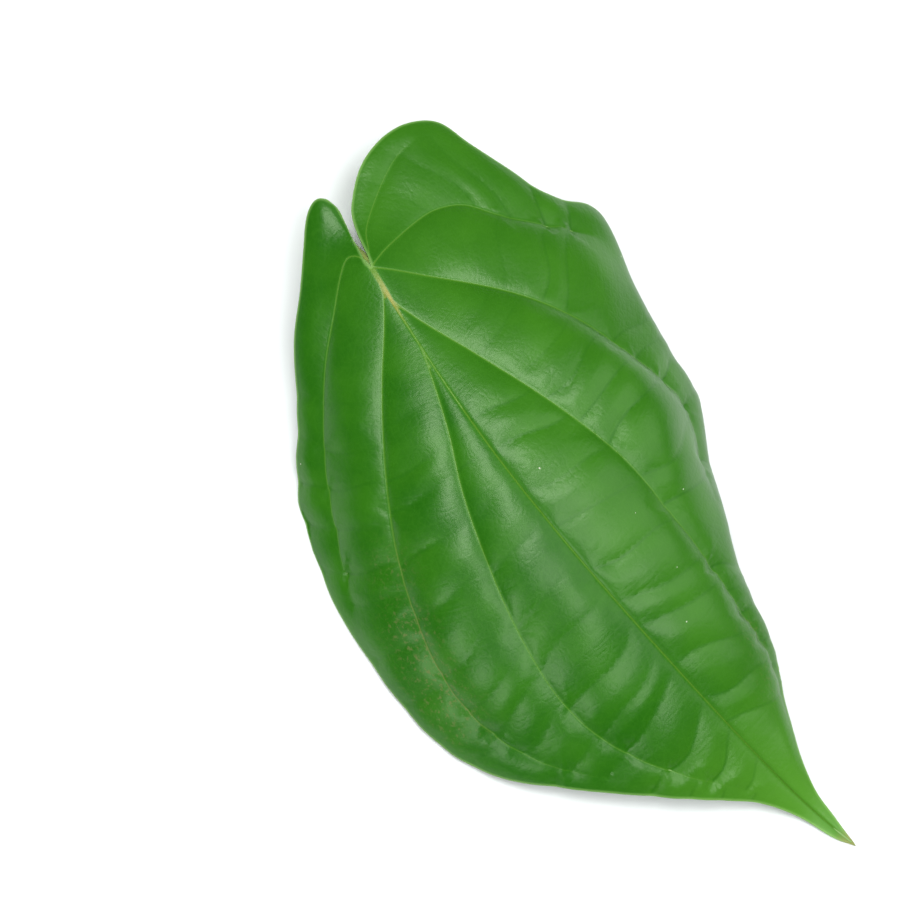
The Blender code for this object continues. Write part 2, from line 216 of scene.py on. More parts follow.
def _hermite(s: np.ndarray, v: np.ndarray, tangent: np.ndarray, x: np.ndarray) -> np.ndarray:
    """Cubic pieces through values v with given tangents, read at x."""
    i = np.clip(np.searchsorted(s, x, side="right") - 1, 0, len(s) - 2)
    h = (s[i + 1] - s[i])[:, None]
    t = (x - s[i])[:, None] / h
    return (v[i] * (1 + 2 * t) * (1 - t) ** 2 + tangent[i] * h * t * (1 - t) ** 2
            + v[i + 1] * t ** 2 * (3 - 2 * t) + tangent[i + 1] * h * t ** 2 * (t - 1))


def smooth_path(points: Sequence[tuple[float, float]], spacing: float) -> np.ndarray:
    """Lay evenly spaced points on a smooth curve through a few given ones.

    Args:
        points: the points the curve goes through.
        spacing: the distance between the new points.

    Returns:
        The new points, from the first given one to the last.
    """
    p = np.array(points, float)
    s = np.concatenate([[0], np.cumsum(np.sqrt(np.hypot(*np.diff(p, axis=0).T)))])
    slope = np.diff(p, axis=0) / np.diff(s)[:, None]
    inner = (p[2:] - p[:-2]) / (s[2:] - s[:-2])[:, None]
    fine = _hermite(s, p, np.vstack([slope[:1], inner, slope[-1:]]), np.linspace(0, s[-1], 800))
    return respace(fine, spacing)


def respace(path: np.ndarray, spacing: float) -> np.ndarray:
    """Points on a path at an even spacing, its ends kept."""
    length = np.concatenate([[0], np.cumsum(np.linalg.norm(np.diff(path, axis=0), axis=1))])
    count = max(2, int(round(length[-1] / spacing)) + 1)
    even = np.linspace(0, length[-1], count)
    return np.stack([np.interp(even, length, path[:, k]) for k in range(path.shape[1])], 1)


def gap_to(flat: np.ndarray, path: np.ndarray) -> tuple[np.ndarray, np.ndarray]:
    """Measure how far points are from a path.

    Args:
        flat: the points.
        path: the path's own points, in order.

    Returns:
        The distances, and how far along the path each nearest place is, from 0 to 1.
    """
    gaps, numbers, shares = nearest_run(flat, path[:-1], np.diff(path, axis=0))
    return gaps, (numbers + shares) / (len(path) - 1)


def nearest_run(flat: np.ndarray, starts: np.ndarray,
                runs: np.ndarray) -> tuple[np.ndarray, np.ndarray, np.ndarray]:
    """Find the nearest of many straight runs to each point, a batch of points at a time.

    Args:
        flat: the points.
        starts: where each run starts.
        runs: each run, from its start to its end.

    Returns:
        The distances, the nearest run's number, and how far along it, from 0 to 1.
    """
    square = (runs ** 2).sum(1)
    gaps, shares = np.empty(len(flat)), np.empty(len(flat))
    numbers = np.empty(len(flat), int)
    for low in range(0, len(flat), BATCH):
        part = slice(low, low + BATCH)
        rel = flat[part, None, :] - starts
        share = np.clip((rel * runs).sum(2) / square, 0, 1)
        gap = ((rel - share[..., None] * runs) ** 2).sum(2)
        best = gap.argmin(1)
        row = np.arange(len(best))
        gaps[part] = np.sqrt(gap[row, best])
        numbers[part] = best
        shares[part] = share[row, best]
    return gaps, numbers, shares


def inside(points: np.ndarray, ring: np.ndarray) -> np.ndarray:
    """Tell which points lie inside a closed ring of points."""
    hit = np.zeros(len(points), bool)
    for (x0, y0), (x1, y1) in zip(ring, np.roll(ring, -1, axis=0)):
        if y0 != y1:
            cross = (y0 > points[:, 1]) != (y1 > points[:, 1])
            hit ^= cross & (points[:, 0] < (x1 - x0) * (points[:, 1] - y0) / (y1 - y0) + x0)
    return hit


def ramp(low: float, high: float, x: np.ndarray) -> np.ndarray:
    """A smooth step from 0 at low to 1 at high."""
    t = np.clip((x - low) / (high - low), 0, 1)
    return t * t * (3 - 2 * t)


@dataclass
class Pattern:
    """The flat pattern of the leaf: its edge, main veins and fine cross veins."""

    cross_step: float = 0.6
    jitter: float = 0.26
    seed: int = 11
    edge: np.ndarray = field(init=False)
    midrib: np.ndarray = field(init=False)
    courses: dict[str, np.ndarray] = field(init=False)
    crossings: list[np.ndarray] = field(init=False)
    weights: list[float] = field(init=False)

    def __post_init__(self) -> None:
        """Lay out every line of the pattern."""
        self.edge = self.outline(1.0)
        along = np.arange(0, 119, 0.5)
        self.midrib = np.stack([along, along * 0], 1)
        self.courses = {v.name: self.turned(smooth_path(v.points, 0.5), v.half) for v in VEINS}
        self.crossings, self.weights = [], []
        self._lay_crossings()

    @staticmethod
    def turned(path: np.ndarray, half: Half) -> np.ndarray:
        """A path given by distances out, put on its half."""
        return path * (1, half.value)

    def outline(self, spacing: float) -> np.ndarray:
        """The blade's closed outline from the notch round the high half, tip and low half."""
        high = smooth_path(HIGH_EDGE, spacing)
        low = self.turned(smooth_path(LOW_EDGE, spacing), Half.LOW)
        return np.vstack([[NOTCH], high, [TIP], low[::-1]])

    def closed_edge(self) -> np.ndarray:
        """The outline with its first point repeated at the end."""
        return np.vstack([self.edge, self.edge[:1]])

    def _line(self, name: str, half: Half) -> np.ndarray:
        """A strip's boundary as a path that runs outwards from the joint."""
        if name == Line.MIDRIB.value:
            return self.midrib
        if name == Line.EDGE.value:
            table = HIGH_EDGE if half is Half.HIGH else LOW_EDGE
            path = self.turned(smooth_path(table, 0.5), half)
            reach = np.hypot(*path.T)
            return path[np.maximum.accumulate(reach) <= reach + 1e-9]
        return self.courses[name]

    @staticmethod
    def _at_reach(path: np.ndarray, reach: float) -> np.ndarray | None:
        """The place on a path at a distance from the joint, or None past its end."""
        away = np.hypot(*path.T)
        if not away[0] - 0.5 <= reach <= away[-1]:
            return None
        return np.array([np.interp(reach, away, path[:, k]) for k in (0, 1)])

    def _lay_crossings(self) -> None:
        """Lay the fine veins across every strip, each with its own small wander."""
        rng = np.random.default_rng(self.seed)
        for strip in STRIPS:
            inner = self._line(strip.inner, strip.half)
            outer = self._line(strip.outer, strip.half)
            reach = strip.start + rng.uniform(0, 1.5)
            while reach < strip.end:
                start = self._at_reach(inner, reach)
                width = 0.0
                if start is not None:
                    facing = self._at_reach(outer, reach)
                    width = 0.0 if facing is None else float(np.hypot(*(facing - start)))
                end = self._at_reach(outer, reach + strip.lean * width + rng.uniform(-0.8, 0.8))
                if start is not None and end is not None and width > 1.6:
                    self._add_crossing(start, end, strip.outer == Line.EDGE.value, rng)
                reach += strip.pitch * rng.uniform(1 - self.jitter, 1 + self.jitter)

    def _add_crossing(self, start: np.ndarray, end: np.ndarray, to_edge: bool,
                      rng: np.random.Generator) -> None:
        """Add one fine vein, bowed and slightly bent, from one line to the next."""
        run = end - start
        length = float(np.hypot(*run))
        square = np.array([-run[1], run[0]]) / length
        bow = rng.uniform(-0.10, 0.04) * length * np.sign(start[1] + end[1] + 1e-9)
        bend = rng.uniform(-0.05, 0.05) * length
        share = np.linspace(0.02, 0.86 if to_edge else 0.98, max(4, int(length / self.cross_step)))
        aside = bow * np.sin(np.pi * share) + bend * np.sin(2 * np.pi * share)
        curve = start + run * share[:, None] + square * aside[:, None]
        keep = inside(curve, self.edge)
        if keep.sum() > 3:
            self.crossings.append(curve[keep])
            self.weights.append(float(rng.uniform(0.45, 1.0)))


@dataclass
class Relief:
    """How far the blade's upper face stands over its smooth arch, in millimetres."""

    pattern: Pattern
    swell: float = 2.4
    swell_reach: float = 5.0
    curl: float = 0.7
    curl_reach: float = 3.5
    joint_reach: float = 7.0
    crossing_depth: float = 0.80
    crossing_reach: float = 2.1
    groove: float = 0.22
    groove_reach: float = 0.8
    ripple: float = 0.13
    ripple_size: float = 15.0
    ripple_count: int = 9
    ripple_seed: int = 5
    edge_wave: float = 0.10
    edge_waves: int = 17
    midrib_half: float = 0.19
    midrib_foot: float = 0.24

    def main_gaps(self, flat: np.ndarray) -> tuple[np.ndarray, ...]:
        """Measure the main veins' distance and strength.

        Args:
            flat: places on the flat blade.

        Returns:
            The share of the swelling that is open, the distance to the nearest main vein,
            the least distance in a vein's own half widths, and how clearly that vein
            shows, from 0 to 1.
        """
        open_share, clear = np.ones(len(flat)), np.ones(len(flat))
        nearest, least = np.full(len(flat), 99.0), np.full(len(flat), 99.0)
        gap, share = gap_to(flat, self.pattern.midrib)
        midrib_half = self.midrib_half + self.midrib_foot * np.exp(-flat[:, 0] / 20)
        lines = [(gap, np.ones(len(flat)), midrib_half, 1 - 0.2 * share)]
        for vein in VEINS:
            gap, share = gap_to(flat, self.pattern.courses[vein.name])
            half_width = vein.width * (0.32 - 0.15 * share)
            shows = ramp(1.0, 0.8, share) * (0.75 - 0.4 * share)
            lines.append((gap, 1 - 0.75 * share ** 2, half_width, shows))
        for gap, depth, half_width, shows in lines:
            open_share *= 1 - depth * np.exp(-gap / self.swell_reach)
            nearest = np.minimum(nearest, gap)
            measure = gap / half_width
            closer = measure < least
            least = np.where(closer, measure, least)
            clear = np.where(closer, shows, clear)
        return open_share, nearest, least, clear

    def crossing_gap(self, flat: np.ndarray) -> tuple[np.ndarray, np.ndarray]:
        """The distance to the nearest fine vein, and that vein's strength fading outwards."""
        starts = np.vstack([c[:-1] for c in self.pattern.crossings])
        runs = np.vstack([np.diff(c, axis=0) for c in self.pattern.crossings])
        strength = np.concatenate([
            weight * self._fold_strength(c) for c, weight in zip(self.pattern.crossings,
                                                                 self.pattern.weights)])
        gaps, numbers, _ = nearest_run(flat, starts, runs)
        return gaps, strength[numbers]

    @staticmethod
    def _fold_strength(course: np.ndarray) -> np.ndarray:
        """How deep a cross fold is along its course: deepest on the +Y side of a main vein."""
        middle = (course[1:] + course[:-1]) / 2
        share = np.linspace(0, 1, len(middle))
        fade = 0.45 + 0.55 * (share if middle[:, 1].mean() < 0 else 1 - share)
        return fade * (0.35 + 0.65 * ramp(14, 36, np.hypot(*middle.T)))

    def _edge_turn(self, edge: np.ndarray) -> np.ndarray:
        """How far the edge is turned down, from the distance to it."""
        return self.curl * np.clip(1 - edge / self.curl_reach, 0, 1) ** 2

    def _from_joint(self, flat: np.ndarray) -> np.ndarray:
        """A share that is 0 at the stalk's joint and 1 clear of it."""
        return 1 - np.exp(-(np.hypot(*flat.T) / self.joint_reach) ** 2)

    def _ripples(self, flat: np.ndarray) -> np.ndarray:
        """A gentle unevenness, the sum of a few crossing waves."""
        rng = np.random.default_rng(self.ripple_seed)
        total = np.zeros(len(flat))
        for _ in range(self.ripple_count):
            angle, phase = rng.uniform(0, np.pi), rng.uniform(0, 2 * np.pi)
            size = self.ripple_size * rng.uniform(0.7, 1.7)
            wave = flat @ np.array([np.cos(angle), np.sin(angle)])
            total += np.sin(wave * 2 * np.pi / size + phase) / 3
        return total * self.ripple

    def plain(self, flat: np.ndarray) -> np.ndarray:
        """The swellings between the main veins and the turned edge, without finer relief."""
        open_share = self.main_gaps(flat)[0]
        edge = gap_to(flat, self.pattern.closed_edge())[0]
        turned = self.swell * (open_share - 0.5) - self._edge_turn(edge)
        return turned * self._from_joint(flat)

    def rise(self, flat: np.ndarray) -> tuple[np.ndarray, dict[str, np.ndarray]]:
        """Work out the relief and the measures that the finishes read.

        Args:
            flat: places on the flat blade.

        Returns:
            The height over the smooth arch, and named values for each place.
        """
        open_share, nearest, main, clear = self.main_gaps(flat)
        edge, share = gap_to(flat, self.pattern.closed_edge())
        cross, strength = self.crossing_gap(flat)
        from_joint = self._from_joint(flat)
        dip = self.crossing_depth * strength * np.exp(-cross / self.crossing_reach)
        wave = self.edge_wave * np.sin(share * 2 * np.pi * self.edge_waves) * ramp(9, 0, edge)
        height = self.swell * (open_share - 0.5) - self._edge_turn(edge)
        height -= self.groove * clear * np.exp(-nearest / self.groove_reach)
        height += (self._ripples(flat) * ramp(0, 4, edge) - dip) * ramp(0.02, 0.5, open_share)
        height += wave * ramp(0, 1.0, from_joint) * ramp(112, 96, flat[:, 0])
        # The cross folds' strength is stored to weight the painted shade drawn along the fine
        # veins.
        values = {"vein": np.minimum(main, 9.0), "vein_clear": clear,
                  "fine": np.minimum(cross, 3.0), "fold_shade": strength,
                  "edge": np.minimum(edge, 14.0)}
        return height * from_joint, values


@dataclass
class Arch:
    """The attitude of the blade: an arched sheet that the flat pattern is bent onto."""

    step: float = 0.5
    slices: int = 24
    stations: np.ndarray = field(init=False)
    points: np.ndarray = field(init=False)
    heading: np.ndarray = field(init=False)
    turn: np.ndarray = field(init=False)
    shift: np.ndarray = field(init=False)

    def __post_init__(self) -> None:
        """Trace the midrib in space."""
        a = np.arange(-22, 122.01, self.step)
        self.stations = a
        self.heading = np.radians(smooth_value(MIDRIB_HEADING, a)[:, 0])
        height = smooth_value(MIDRIB_HEIGHT, a)[:, 0]
        level = np.sqrt(1 - np.gradient(height, a) ** 2)
        run = np.stack([np.cos(self.heading) * level, np.sin(self.heading) * level], 1)
        track = np.vstack([[0, 0], np.cumsum((run[1:] + run[:-1]) * (self.step / 2), axis=0)])
        track -= track[np.argmin(abs(a))]
        self.points = np.column_stack([track, height])
        self.turn, self.shift = np.eye(3), np.zeros(3)

    def bend(self, flat: np.ndarray) -> np.ndarray:
        """Bend flat places onto the arch, before it is set down on the table."""
        along, out = flat[:, 0], abs(flat[:, 1])
        side = np.where(flat[:, 1] < 0, -1.0, 1.0)
        reach = out[:, None] * np.linspace(0, 1, self.slices + 1)
        fall = np.empty_like(reach)
        for mask, table in ((side < 0, LOW_FALL), (side > 0, HIGH_FALL)):
            if mask.any():
                rows = smooth_value(table, along[mask])
                fall[mask] = [np.interp(r, OUT_STATIONS, row)
                              for r, row in zip(reach[mask], rows)]
        fall = np.radians(fall)
        away = (np.cos(fall)[:, 1:] + np.cos(fall)[:, :-1]).sum(1) * out / (2 * self.slices)
        drop = (np.sin(fall)[:, 1:] + np.sin(fall)[:, :-1]).sum(1) * out / (2 * self.slices)
        base = np.stack([np.interp(along, self.stations, self.points[:, k]) for k in range(3)], 1)
        heading = np.interp(along, self.stations, self.heading)
        base[:, 0] -= side * np.sin(heading) * away
        base[:, 1] += side * np.cos(heading) * away
        base[:, 2] -= drop
        return base

    def facing(self, flat: np.ndarray) -> np.ndarray:
        """Unit vectors square to the smooth arch, pointing up, before it is set down."""
        du, dv = np.array([0.25, 0]), np.array([0, 0.25])
        normal = np.cross(self.bend(flat + du) - self.bend(flat - du),
                          self.bend(flat + dv) - self.bend(flat - dv))
        return normal / np.linalg.norm(normal, axis=1)[:, None]

    def down(self, points: np.ndarray) -> np.ndarray:
        """Points of the unturned arch, as they are once the leaf lies on the table."""
        return points @ self.turn.T + self.shift

    def settle(self, flat: np.ndarray, under: np.ndarray, pressed: float) -> None:
        """Find the turn that sets the leaf down on its three lowest spots.

        Args:
            flat: places on the flat blade.
            under: the underside's points at those places, unturned.
            pressed: how far the lowest spots sink into the table, to be pressed flat.
        """
        parts = [flat[:, 1] < -15, flat[:, 1] > 15, flat[:, 0] > 100]
        normal = np.array([0.0, 0.0, 1.0])
        for _ in range(12):
            height = under @ normal
            spot = [under[mask][height[mask].argmin()] for mask in parts]
            normal = np.cross(spot[2] - spot[0], spot[1] - spot[0])
            normal /= np.linalg.norm(normal)
        ahead = np.array([1, 0, 0]) - normal * normal[0]
        ahead /= np.linalg.norm(ahead)
        self.turn = np.array([ahead, np.cross(normal, ahead), normal])
        placed = under @ self.turn.T
        low, high = placed.min(0), placed.max(0)
        box_low, box_high = np.array(CAD_BOX) / MM
        middle = (box_low + box_high) / 2
        self.shift = np.array([middle[0] - (low[0] + high[0]) / 2,
                               middle[1] - (low[1] + high[1]) / 2, -low[2] - pressed])


class Wire:
    """A shader socket that can be used in a Python expression."""

    def __init__(self, bench: "Bench", socket: bpy.types.NodeSocket) -> None:
        """Wrap a socket of a bench's tree."""
        self.bench, self.socket = bench, socket

    def _math(self, operation: str, *values: Any) -> "Wire":
        """Add a Math node that takes these values."""
        return self.bench.add("ShaderNodeMath", {"operation": operation},
                              dict(enumerate(values)))

    def __add__(self, other: Any) -> "Wire":
        """This plus other."""
        return self._math("ADD", self, other)

    __radd__ = __add__

    def __sub__(self, other: Any) -> "Wire":
        """This less other."""
        return self._math("SUBTRACT", self, other)

    def __rsub__(self, other: Any) -> "Wire":
        """Other less this."""
        return self._math("SUBTRACT", other, self)

    def __mul__(self, other: Any) -> "Wire":
        """This times other."""
        return self._math("MULTIPLY", self, other)

    __rmul__ = __mul__

    def sin(self) -> "Wire":
        """The sine of this."""
        return self._math("SINE", self)

    def least(self, other: Any) -> "Wire":
        """The smaller of this and other."""
        return self._math("MINIMUM", self, other)

    def step(self, low: float, high: float) -> "Wire":
        """A smooth step of this, from 0 at low to 1 at high."""
        down = low > high
        pair = (high, low) if down else (low, high)
        wire = self.bench.add("ShaderNodeMapRange", {"interpolation_type": "SMOOTHSTEP"},
                              {0: self, 1: pair[0], 2: pair[1]})
        return 1 - wire if down else wire


class Bench:
    """Builds one material's nodes."""

    def __init__(self, name: str) -> None:
        """Start a material with its shader."""
        self.material = bpy.data.materials.new(name)
        self.material.use_nodes = True
        self.tree = self.material.node_tree
        self.shader = self.tree.nodes["Principled BSDF"]

    def add(self, kind: str, settings: dict[str, Any] | None = None,
            inputs: dict[Any, Any] | None = None, output: Any = 0) -> Wire:
        """Add any node.

        Args:
            kind: the node's type name.
            settings: properties of the node, set first.
            inputs: values or wires by socket name or number.
            output: the socket to hand back, by name or number.

        Returns:
            The chosen output.
        """
        node = self.tree.nodes.new(kind)
        for key, value in (settings or {}).items():
            setattr(node, key, value)
        for key, value in (inputs or {}).items():
            self.put(node.inputs[key], value)
        return Wire(self, node.outputs[output])

    def put(self, socket: bpy.types.NodeSocket, value: Any) -> None:
        """Give a socket a value or a link."""
        if isinstance(value, Wire):
            self.tree.links.new(value.socket, socket)
        else:
            socket.default_value = value

    def mix(self, share: Any, first: Any, second: Any) -> Wire:
        """Mix two colours by a share of the second."""
        return self.add("ShaderNodeMix", {"data_type": "RGBA"},
                        {0: share, 6: first, 7: second}, output=2)

    def value(self, name: str) -> Wire:
        """A named value stored on the mesh."""
        return self.add("ShaderNodeAttribute", {"attribute_name": name}, output="Fac")

    def flat(self) -> Wire:
        """The place on the flat blade, in centimetres, from the mesh's own map."""
        return self.add("ShaderNodeUVMap", {"uv_map": "flat"})

    def pair(self, first: str, second: str) -> Wire:
        """Two named values as the X and Y of a place."""
        return self.add("ShaderNodeCombineXYZ", {}, {"X": self.value(first),
                                                     "Y": self.value(second)})

    def place(self) -> Wire:
        """The place in space, in metres."""
        return self.add("ShaderNodeTexCoord", output="Object")

    def noise(self, where: Wire, scale: float, detail: float, roughness: float) -> Wire:
        """Noise from 0 to 1 at a place."""
        return self.add("ShaderNodeTexNoise", {}, {"Vector": where, "Scale": scale,
                                                   "Detail": detail, "Roughness": roughness})

    def cells(self, where: Wire, scale: float, feature: str = "DISTANCE_TO_EDGE") -> Wire:
        """Distance to the walls, or centres, of random cells."""
        return self.add("ShaderNodeTexVoronoi", {"feature": feature},
                        {"Vector": where, "Scale": scale}, output="Distance")

    def stretch(self, where: Wire, size: tuple[float, float, float]) -> Wire:
        """A place scaled along its axes."""
        return self.add("ShaderNodeMapping", {}, {"Vector": where, "Scale": size})

    def finish(self, colour: Any, roughness: Any, height: Wire | None = None,
               **fixed: Any) -> bpy.types.Material:
        """Wire the shader up.

        Args:
            colour: base colour.
            roughness: roughness.
            height: relief in millimetres for the Bump node.
            fixed: other shader sockets by name, with _ for a space.

        Returns:
            The finished material.
        """
        self.put(self.shader.inputs["Base Color"], colour)
        self.put(self.shader.inputs["Roughness"], roughness)
        for key, value in fixed.items():
            self.put(self.shader.inputs[key.replace("_", " ")], value)
        if height is not None:
            bump = self.add("ShaderNodeBump", {}, {"Height": height, "Distance": MM,
                                                   "Strength": 1.0})
            self.tree.links.new(bump.socket, self.shader.inputs["Normal"])
        return self.material


Colour = tuple[float, float, float, float]


@dataclass(frozen=True)
class UpperFinish:
    """The waxy deep green upper face with its pale pressed veins."""

    deep: Colour = (0.013, 0.112, 0.001, 1)
    fresh: Colour = (0.028, 0.155, 0.002, 1)
    # Paler green: it grows towards the tip, and a share of it over the high half is painted sheen.
    pale_tip_and_sheen: Colour = (0.085, 0.270, 0.018, 1)
    vein: Colour = (0.085, 0.225, 0.018, 1)
    vein_foot: Colour = (0.300, 0.230, 0.025, 1)
    fine: Colour = (0.050, 0.205, 0.012, 1)
    rim: Colour = (0.250, 0.440, 0.120, 1)
    scuff: Colour = (0.180, 0.160, 0.055, 1)
    tip: Colour = (0.230, 0.210, 0.050, 1)

    def make(self) -> bpy.types.Material:
        """Build the material."""
        b = Bench("leaf_upper")
        flat = b.flat()
        vein, vein_clear = b.value("vein"), b.value("vein_clear")
        fine, fold_shade = b.value("fine"), b.value("fold_shade")
        edge, foot, scuff = b.value("edge"), b.value("foot"), b.value("scuff")
        patch = b.noise(flat, 0.9, 4, 0.55)
        grain = b.noise(flat, 14.0, 4, 0.65)
        net = b.cells(flat, 9.0)
        net_line = net.step(0.075, 0.0)
        colour = b.mix(patch.step(0.34, 0.72) * 0.75, self.deep, self.fresh)
        colour = b.mix(grain.step(0.45, 0.75) * 0.25, colour, self.fresh)
        # Painted sheen: the high half gets a share of the paler green; towards the tip it grows
        # paler still.
        colour = b.mix(b.value("pale_tip_and_sheen"), colour, self.pale_tip_and_sheen)
        colour = b.mix(net_line * 0.12, colour, self.fine)
        # Painted shade: darker green along each fine vein, in the valleys of the cross folds,
        # deepest where the fold is deep.
        colour = b.mix(fine.step(0.40, 0.05) * fold_shade * 0.6, colour, self.deep)
        colour = b.mix(vein.step(4.5, 1.0) * vein_clear * 0.35, colour, self.fine)
        speckle = b.noise(flat, 13.0, 3, 0.7).step(0.52, 0.66)
        colour = b.mix(speckle * scuff * 0.45, colour, self.scuff)
        vein_colour = b.mix(foot, self.vein, self.vein_foot)
        vein_colour = b.mix(scuff * 0.8, vein_colour, self.scuff)
        colour = b.mix(vein.step(1.35, 0.65) * vein_clear, colour, vein_colour)
        colour = b.mix(edge.step(0.55, 0.05) * 0.5, colour, self.rim)
        colour = b.mix(b.value("tip"), colour, self.tip)
        roughness = 0.28 + 0.08 * patch + 0.12 * speckle * scuff + 0.05 * grain
        strand = b.noise(b.stretch(b.pair("reach", "swing"), (1.5, 0.5, 1)), 1.0, 2, 0.5)
        height = (grain * 0.012 + net.least(0.25) * 0.035 + strand * 0.03
                  - vein.step(1.6, 0.2) * vein_clear * 0.04)
        return b.finish(colour, roughness, height, Specular_IOR_Level=0.42,
                        Specular_Tint=(0.9, 1.0, 0.75, 1))


@dataclass(frozen=True)
class UnderFinish:
    """The dull, paler underside."""

    pale: Colour = (0.130, 0.270, 0.062, 1)
    fresh: Colour = (0.170, 0.330, 0.090, 1)
    line: Colour = (0.240, 0.400, 0.130, 1)

    def make(self) -> bpy.types.Material:
        """Build the material."""
        b = Bench("leaf_under")
        flat = b.flat()
        patch = b.noise(flat, 1.1, 4, 0.55)
        net = b.cells(flat, 9.0)
        colour = b.mix(patch, self.pale, self.fresh)
        colour = b.mix(net.step(0.09, 0.0) * 0.45, colour, self.line)
        colour = b.mix(b.value("fine").step(0.5, 0.1) * 0.6, colour, self.line)
        colour = b.mix(b.value("vein").step(2.2, 0.8), colour, self.line)
        height = net.step(0.12, 0.0) * 0.05 + b.noise(flat, 30.0, 3, 0.6) * 0.03
        return b.finish(colour, 0.62 + 0.1 * patch, height, Specular_IOR_Level=0.35)


@dataclass(frozen=True)
class RibFinish:
    """The ribs that stand out on the underside, pale green and finely ridged."""

    pale: Colour = (0.250, 0.400, 0.120, 1)
    green: Colour = (0.150, 0.310, 0.070, 1)

    def make(self) -> bpy.types.Material:
        """Build the material."""
        b = Bench("leaf_rib")
        place = b.place()
        tone = b.noise(place, 160.0, 4, 0.6)
        ridge = b.noise(b.stretch(place, (60, 900, 900)), 1.0, 2, 0.5)
        return b.finish(b.mix(tone, self.pale, self.green), 0.5 + 0.15 * tone, ridge * 0.06)


@dataclass(frozen=True)
class StalkFinish:
    """The stalk's skin: green, ridged lengthwise, browner towards its cut end."""

    green: Colour = (0.160, 0.300, 0.050, 1)
    yellow: Colour = (0.330, 0.340, 0.080, 1)
    brown: Colour = (0.240, 0.160, 0.060, 1)

    def make(self) -> bpy.types.Material:
        """Build the material."""
        b = Bench("stalk_skin")
        place = b.place()
        end = b.value("end")
        tone = b.noise(place, 420.0, 4, 0.6)
        ridges = (b.value("round") * 22.0 + tone * 1.5).sin()
        colour = b.mix(tone, self.green, self.yellow)
        colour = b.mix((end + tone * 0.25 - 0.12).step(0.55, 1.0), colour, self.brown)
        return b.finish(colour, 0.48 + 0.2 * tone, ridges * 0.035 + tone * 0.05)


@dataclass(frozen=True)
class CutFinish:
    """The cut end of the stalk: pale pith with a ring of darker bundles."""

    pith: Colour = (0.420, 0.360, 0.160, 1)
    bundle: Colour = (0.200, 0.130, 0.050, 1)

    def make(self) -> bpy.types.Material:
        """Build the material."""
        b = Bench("stalk_cut")
        place = b.place()
        dots = b.cells(place, 2600.0, "F1").step(0.42, 0.2)
        ring = b.value("ring")
        band = ring.step(0.45, 0.7) * ring.step(0.95, 0.85)
        tone = b.noise(place, 900.0, 4, 0.6)
        colour = b.mix(dots * band * 0.8, b.mix(tone, self.pith, self.bundle), self.bundle)
        return b.finish(colour, 0.75, tone * 0.08 + dots * -0.05)


@dataclass(frozen=True)
class DustFinish:
    """Tiny pale grains that lie on the leaf."""

    chalk: Colour = (0.62, 0.66, 0.52, 1)
    green: Colour = (0.35, 0.42, 0.2, 1)

    def make(self) -> bpy.types.Material:
        """Build the material."""
        b = Bench("leaf_dust")
        tone = b.noise(b.place(), 1500.0, 2, 0.5)
        return b.finish(b.mix(tone * 0.4, self.chalk, self.green), 0.7)


@dataclass(frozen=True)
class FloorFinish:
    """The plain pale floor."""

    white: Colour = (0.86, 0.86, 0.86, 1)

    def make(self) -> bpy.types.Material:
        """Build the material."""
        b = Bench("floor_white")
        return b.finish(self.white, 0.9, Specular_IOR_Level=0.1)


def mesh_piece(name: str, points: np.ndarray, faces: Iterable[Sequence[int]],
               finishes: Sequence[bpy.types.Material]) -> bpy.types.Object:
    """Make an object from points in millimetres.

    Args:
        name: the piece's name.
        points: its points.
        faces: its faces, by point number.
        finishes: its materials.

    Returns:
        The new object, shaded smooth.
    """
    mesh = bpy.data.meshes.new(name)
    mesh.from_pydata((points * MM).tolist(), [], [tuple(f) for f in faces])
    for finish in finishes:
        mesh.materials.append(finish)
    mesh.shade_smooth()
    obj = bpy.data.objects.new(name, mesh)
    bpy.context.collection.objects.link(obj)
    return obj


def stands_for_leaf(piece: bpy.types.Object) -> None:
    """Declare a piece of the leaf to the frame."""
    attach(piece, ROOT)
    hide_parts(NODE)


def sized_tree(name: str, sizes: dict[str, str]) -> bpy.types.NodeTree:
    """Start a Geometry Nodes tree.

    Args:
        name: its name.
        sizes: its named inputs besides the geometry, each with its socket's kind.

    Returns:
        The tree, with no nodes yet.
    """
    tree = bpy.data.node_groups.new(name, "GeometryNodeTree")
    for label, kind in {"Geometry": "Geometry", **sizes}.items():
        tree.interface.new_socket(label, in_out="INPUT", socket_type=f"NodeSocket{kind}")
    tree.interface.new_socket("Geometry", in_out="OUTPUT", socket_type="NodeSocketGeometry")
    return tree


def direction(azimuth: float, elevation: float) -> Vector:
    """The unit vector for an azimuth, 0 on the -Y side and 90 on the +X side, and elevation."""
    az, el = math.radians(azimuth), math.radians(elevation)
    return Vector((math.sin(az) * math.cos(el), -math.cos(az) * math.cos(el), math.sin(el)))


def store(mesh: bpy.types.Mesh, name: str, values: np.ndarray) -> None:
    """Store one number for each point of a mesh."""
    layer = mesh.attributes.new(name, "FLOAT", "POINT")
    layer.data.foreach_set("value", np.asarray(values, np.float32))


